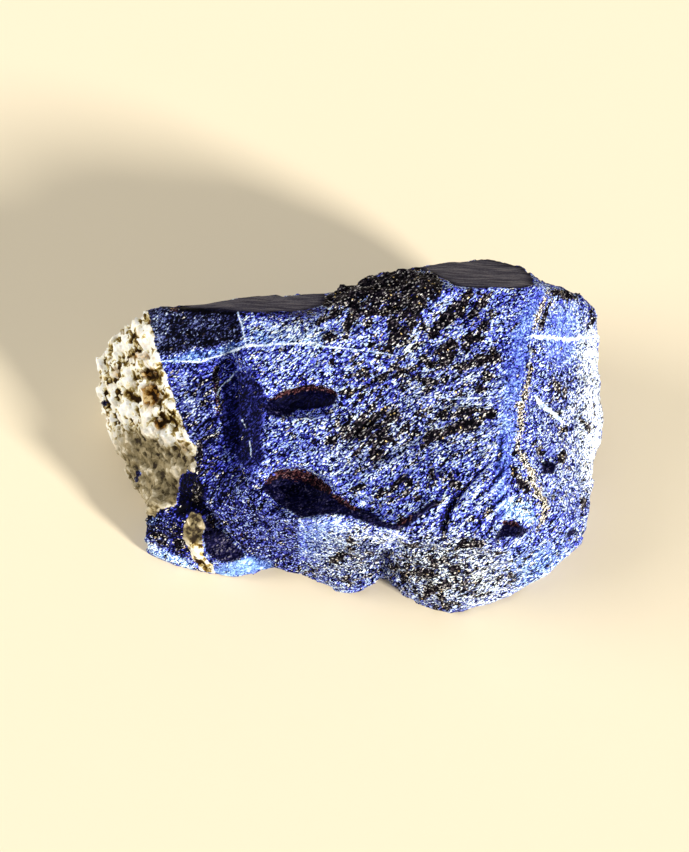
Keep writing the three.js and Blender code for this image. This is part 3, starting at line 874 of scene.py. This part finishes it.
def in_vein(name, raggedness):
    """1 inside the vein of that name, which is ragged and pinches out in places."""
    width = stored(name + "_width") * ((pinches - 0.5) * 4.0 + 1.0)
    return step(width + (fine - 0.5) * raggedness - stored(name).maths("ABSOLUTE"), -0.4, 0.4)


white = ramp(
    first,
    (0.0, (110, 140, 200)), (0.3, (176, 200, 232)), (0.6, (220, 236, 248)), (1.0, (250, 253, 255)),
)
for name in VEINS:
    colour = blend(in_vein(name, WHITE_RAGGEDNESS), colour, white)
cream = ramp(
    third,
    (0.0, (2, 2, 8)), (0.46, (14, 12, 22)), (0.55, (112, 96, 76)), (0.7, (212, 202, 174)),
    (0.88, (255, 252, 240)),
)
for name in CREAM_VEINS:
    colour = blend(in_vein(name, CREAM_RAGGEDNESS), colour, cream)

# Calcite: white on its lumps, olive and brown between them, rusty in places, and grey with painted
# shade on its lower part.
mottle = speckle(place, 1.7, 5.0, 0.62)
crystal, _, _ = grains(place, CRYSTAL)
height = stored("crust_height") * 0.8 + (mottle - 0.5) * 1.9 + (crystal - 0.5) * 0.7
height = height + (fine - 0.5) * 0.3 + (broad_drift - 0.5) * 0.6 + 0.15
white_calcite = ramp(
    height,
    (0.0, (40, 24, 6)), (0.15, (92, 68, 22)), (0.3, (140, 116, 58)), (0.42, (196, 178, 122)),
    (0.52, (244, 234, 198)), (0.62, (255, 254, 236)), (1.0, (255, 255, 252)),
)
shaded_calcite = ramp(
    height * 0.75 + 0.06,
    (0.0, (52, 44, 34)), (0.15, (92, 82, 58)), (0.35, (126, 114, 84)), (0.55, (148, 135, 104)),
    (0.75, (168, 156, 126)), (1.0, (216, 206, 182)),
)
rusty_calcite = ramp(
    height - 0.28,
    (0.0, (30, 16, 4)), (0.25, (92, 56, 14)), (0.5, (160, 118, 52)), (0.75, (226, 198, 140)),
)
white_calcite = blend(stored("rust") * 1.3 + (mottle - 0.5) * 3.0, white_calcite, rusty_calcite)
calcite = blend(stored("grey_calcite"), white_calcite, shaded_calcite)
on_calcite = step(stored("crust") + (mottle - 0.5) * 9.0, -0.5, 0.5)
on_calcite = on_calcite * (1.0 - step(stored("hollow") + (mottle - 0.5) * 14.0, 0.6, 1.2))
colour = blend(on_calcite, colour, calcite)

# The painted reflection on the joint faces: a grey sheen drawn as colour, combed lengthwise where
# the two sides once slid, and darker at its edge.
COMB = (0.12, 1.0, 1.0)  # squeezes the pattern along the stone's length
combed = Wire.add("ShaderNodeVectorMath", {"operation": "MULTIPLY"}, {0: place, 1: COMB})
joint_sheen_colour = ramp(
    speckle(combed, 0.8, 3.0) + (fine - 0.5) * 0.4 + step(stored("film_middle"), 0.45, 0.95) * 0.3,
    (0.45, (5, 5, 26)), (0.6, (27, 26, 48)), (0.78, (64, 62, 78)), (1.0, (112, 108, 114)),
)
on_joint_sheen = step(stored("film") + (fine - 0.5) * 0.4 + (drift - 0.5) * 0.7, 0.45, 0.55)
colour = blend(on_joint_sheen, colour, joint_sheen_colour)

# Pyrite: brass-coloured specks.
metallic = step(stored("pyrite") * 0.1 + glints, 1.0, 1.005)
colour = blend(metallic, colour, linear(236, 208, 142))

own_relief = fine + first * 0.5 + drift * 2.0 + on_calcite * crystal * 1.5
bumps = Wire.add(
    "ShaderNodeBump",
    {},
    {"Strength": BUMP_STRENGTH, "Distance": BUMP, "Height": own_relief},
)
surface = Wire.add(
    "ShaderNodeBsdfPrincipled",
    {},
    {
        "Base Color": colour,
        "Roughness": ROUGHNESS,
        "Specular IOR Level": SHEEN,
        "Metallic": metallic,
        "Normal": bumps,
    },
)
Wire.add("ShaderNodeOutputMaterial", {}, {"Surface": surface})
body.materials.clear()
body.materials.append(finish)


# ==== The paper ====
# A broad sheet of pale, warm, matt paper. It lies flat under the stone and curves up gently at its
# far edges, so that it fills the view behind the stone too.

PAPER_REACH = 5.0  # from the stone to its edges, m
PAPER_LIFT = 0.5  # how high its edges curve up, m
PAPER_BEND = 0.6  # from the stone to where the curve starts, m
PAPER_MESHES = 60  # along each side
PAPER_COLOUR = (236, 222, 192)
PAPER_ROUGHNESS = 0.9
bpy.ops.mesh.primitive_grid_add(
    x_subdivisions=PAPER_MESHES, y_subdivisions=PAPER_MESHES, size=2 * PAPER_REACH
)
paper = bpy.context.object
paper.name = "paper"
for corner in paper.data.vertices:
    along = (corner.co.xy.length - PAPER_BEND) / (PAPER_REACH - PAPER_BEND)
    corner.co.z = PAPER_LIFT * min(max(along, 0.0), 1.0) ** 2
paper.data.polygons.foreach_set("use_smooth", [True] * len(paper.data.polygons))
paper_finish = bpy.data.materials.new("paper")
paper_finish.use_nodes = True
paper_shader = paper_finish.node_tree.nodes["Principled BSDF"]
paper_shader.inputs["Base Color"].default_value = linear(*PAPER_COLOUR)
paper_shader.inputs["Roughness"].default_value = PAPER_ROUGHNESS
paper.data.materials.append(paper_finish)


# ==== The light ====
# Soft light from low at the front right, weaker and softer light from the left, and a bright, even
# room around.

ROOM_BRIGHTNESS = 0.34
ROOM_TINT = (0.96, 0.97, 1.0, 1.0)
# Each light's direction, strength, the angle that it spreads over, and its tint.
LIGHTS = {
    "key": (Vector((0.68, -0.57, 0.3)), 6.3, math.radians(9), (1.0, 0.96, 0.9)),
    "fill": (Vector((-0.8, 0.05, 0.4)), 2.4, math.radians(40), (1.0, 0.98, 0.96)),
}
for name, (direction, strength, softness, tint) in LIGHTS.items():
    light = bpy.data.lights.new(name, "SUN")
    light.energy = strength
    light.angle = softness
    light.color = tint
    lamp = bpy.data.objects.new(name, light)
    bpy.context.scene.collection.objects.link(lamp)
    lamp.location = direction
    lamp.rotation_mode = "QUATERNION"
    lamp.rotation_quaternion = (-direction).to_track_quat("-Z", "Y")

room = bpy.data.worlds.new("room")
room.use_nodes = True
room_light = room.node_tree.nodes["Background"]
room_light.inputs["Color"].default_value = ROOM_TINT
room_light.inputs["Strength"].default_value = ROOM_BRIGHTNESS
bpy.context.scene.world = room


# ==== The camera ====
# It stands where the sight lines of the sheet of marks meet, above and in front of the stone, and
# looks along the middle one.

LENS = 60.0  # focal length, mm
camera_lens = bpy.data.cameras.new("camera")
camera_lens.lens = LENS
camera = bpy.data.objects.new("camera", camera_lens)
bpy.context.scene.collection.objects.link(camera)
camera.location = Vector(eye / MM)
camera.rotation_mode = "QUATERNION"
camera.rotation_quaternion = Vector(-towards_eye).to_track_quat("-Z", "Y")
bpy.context.scene.camera = camera
bpy.context.scene.view_settings.view_transform = "Standard"
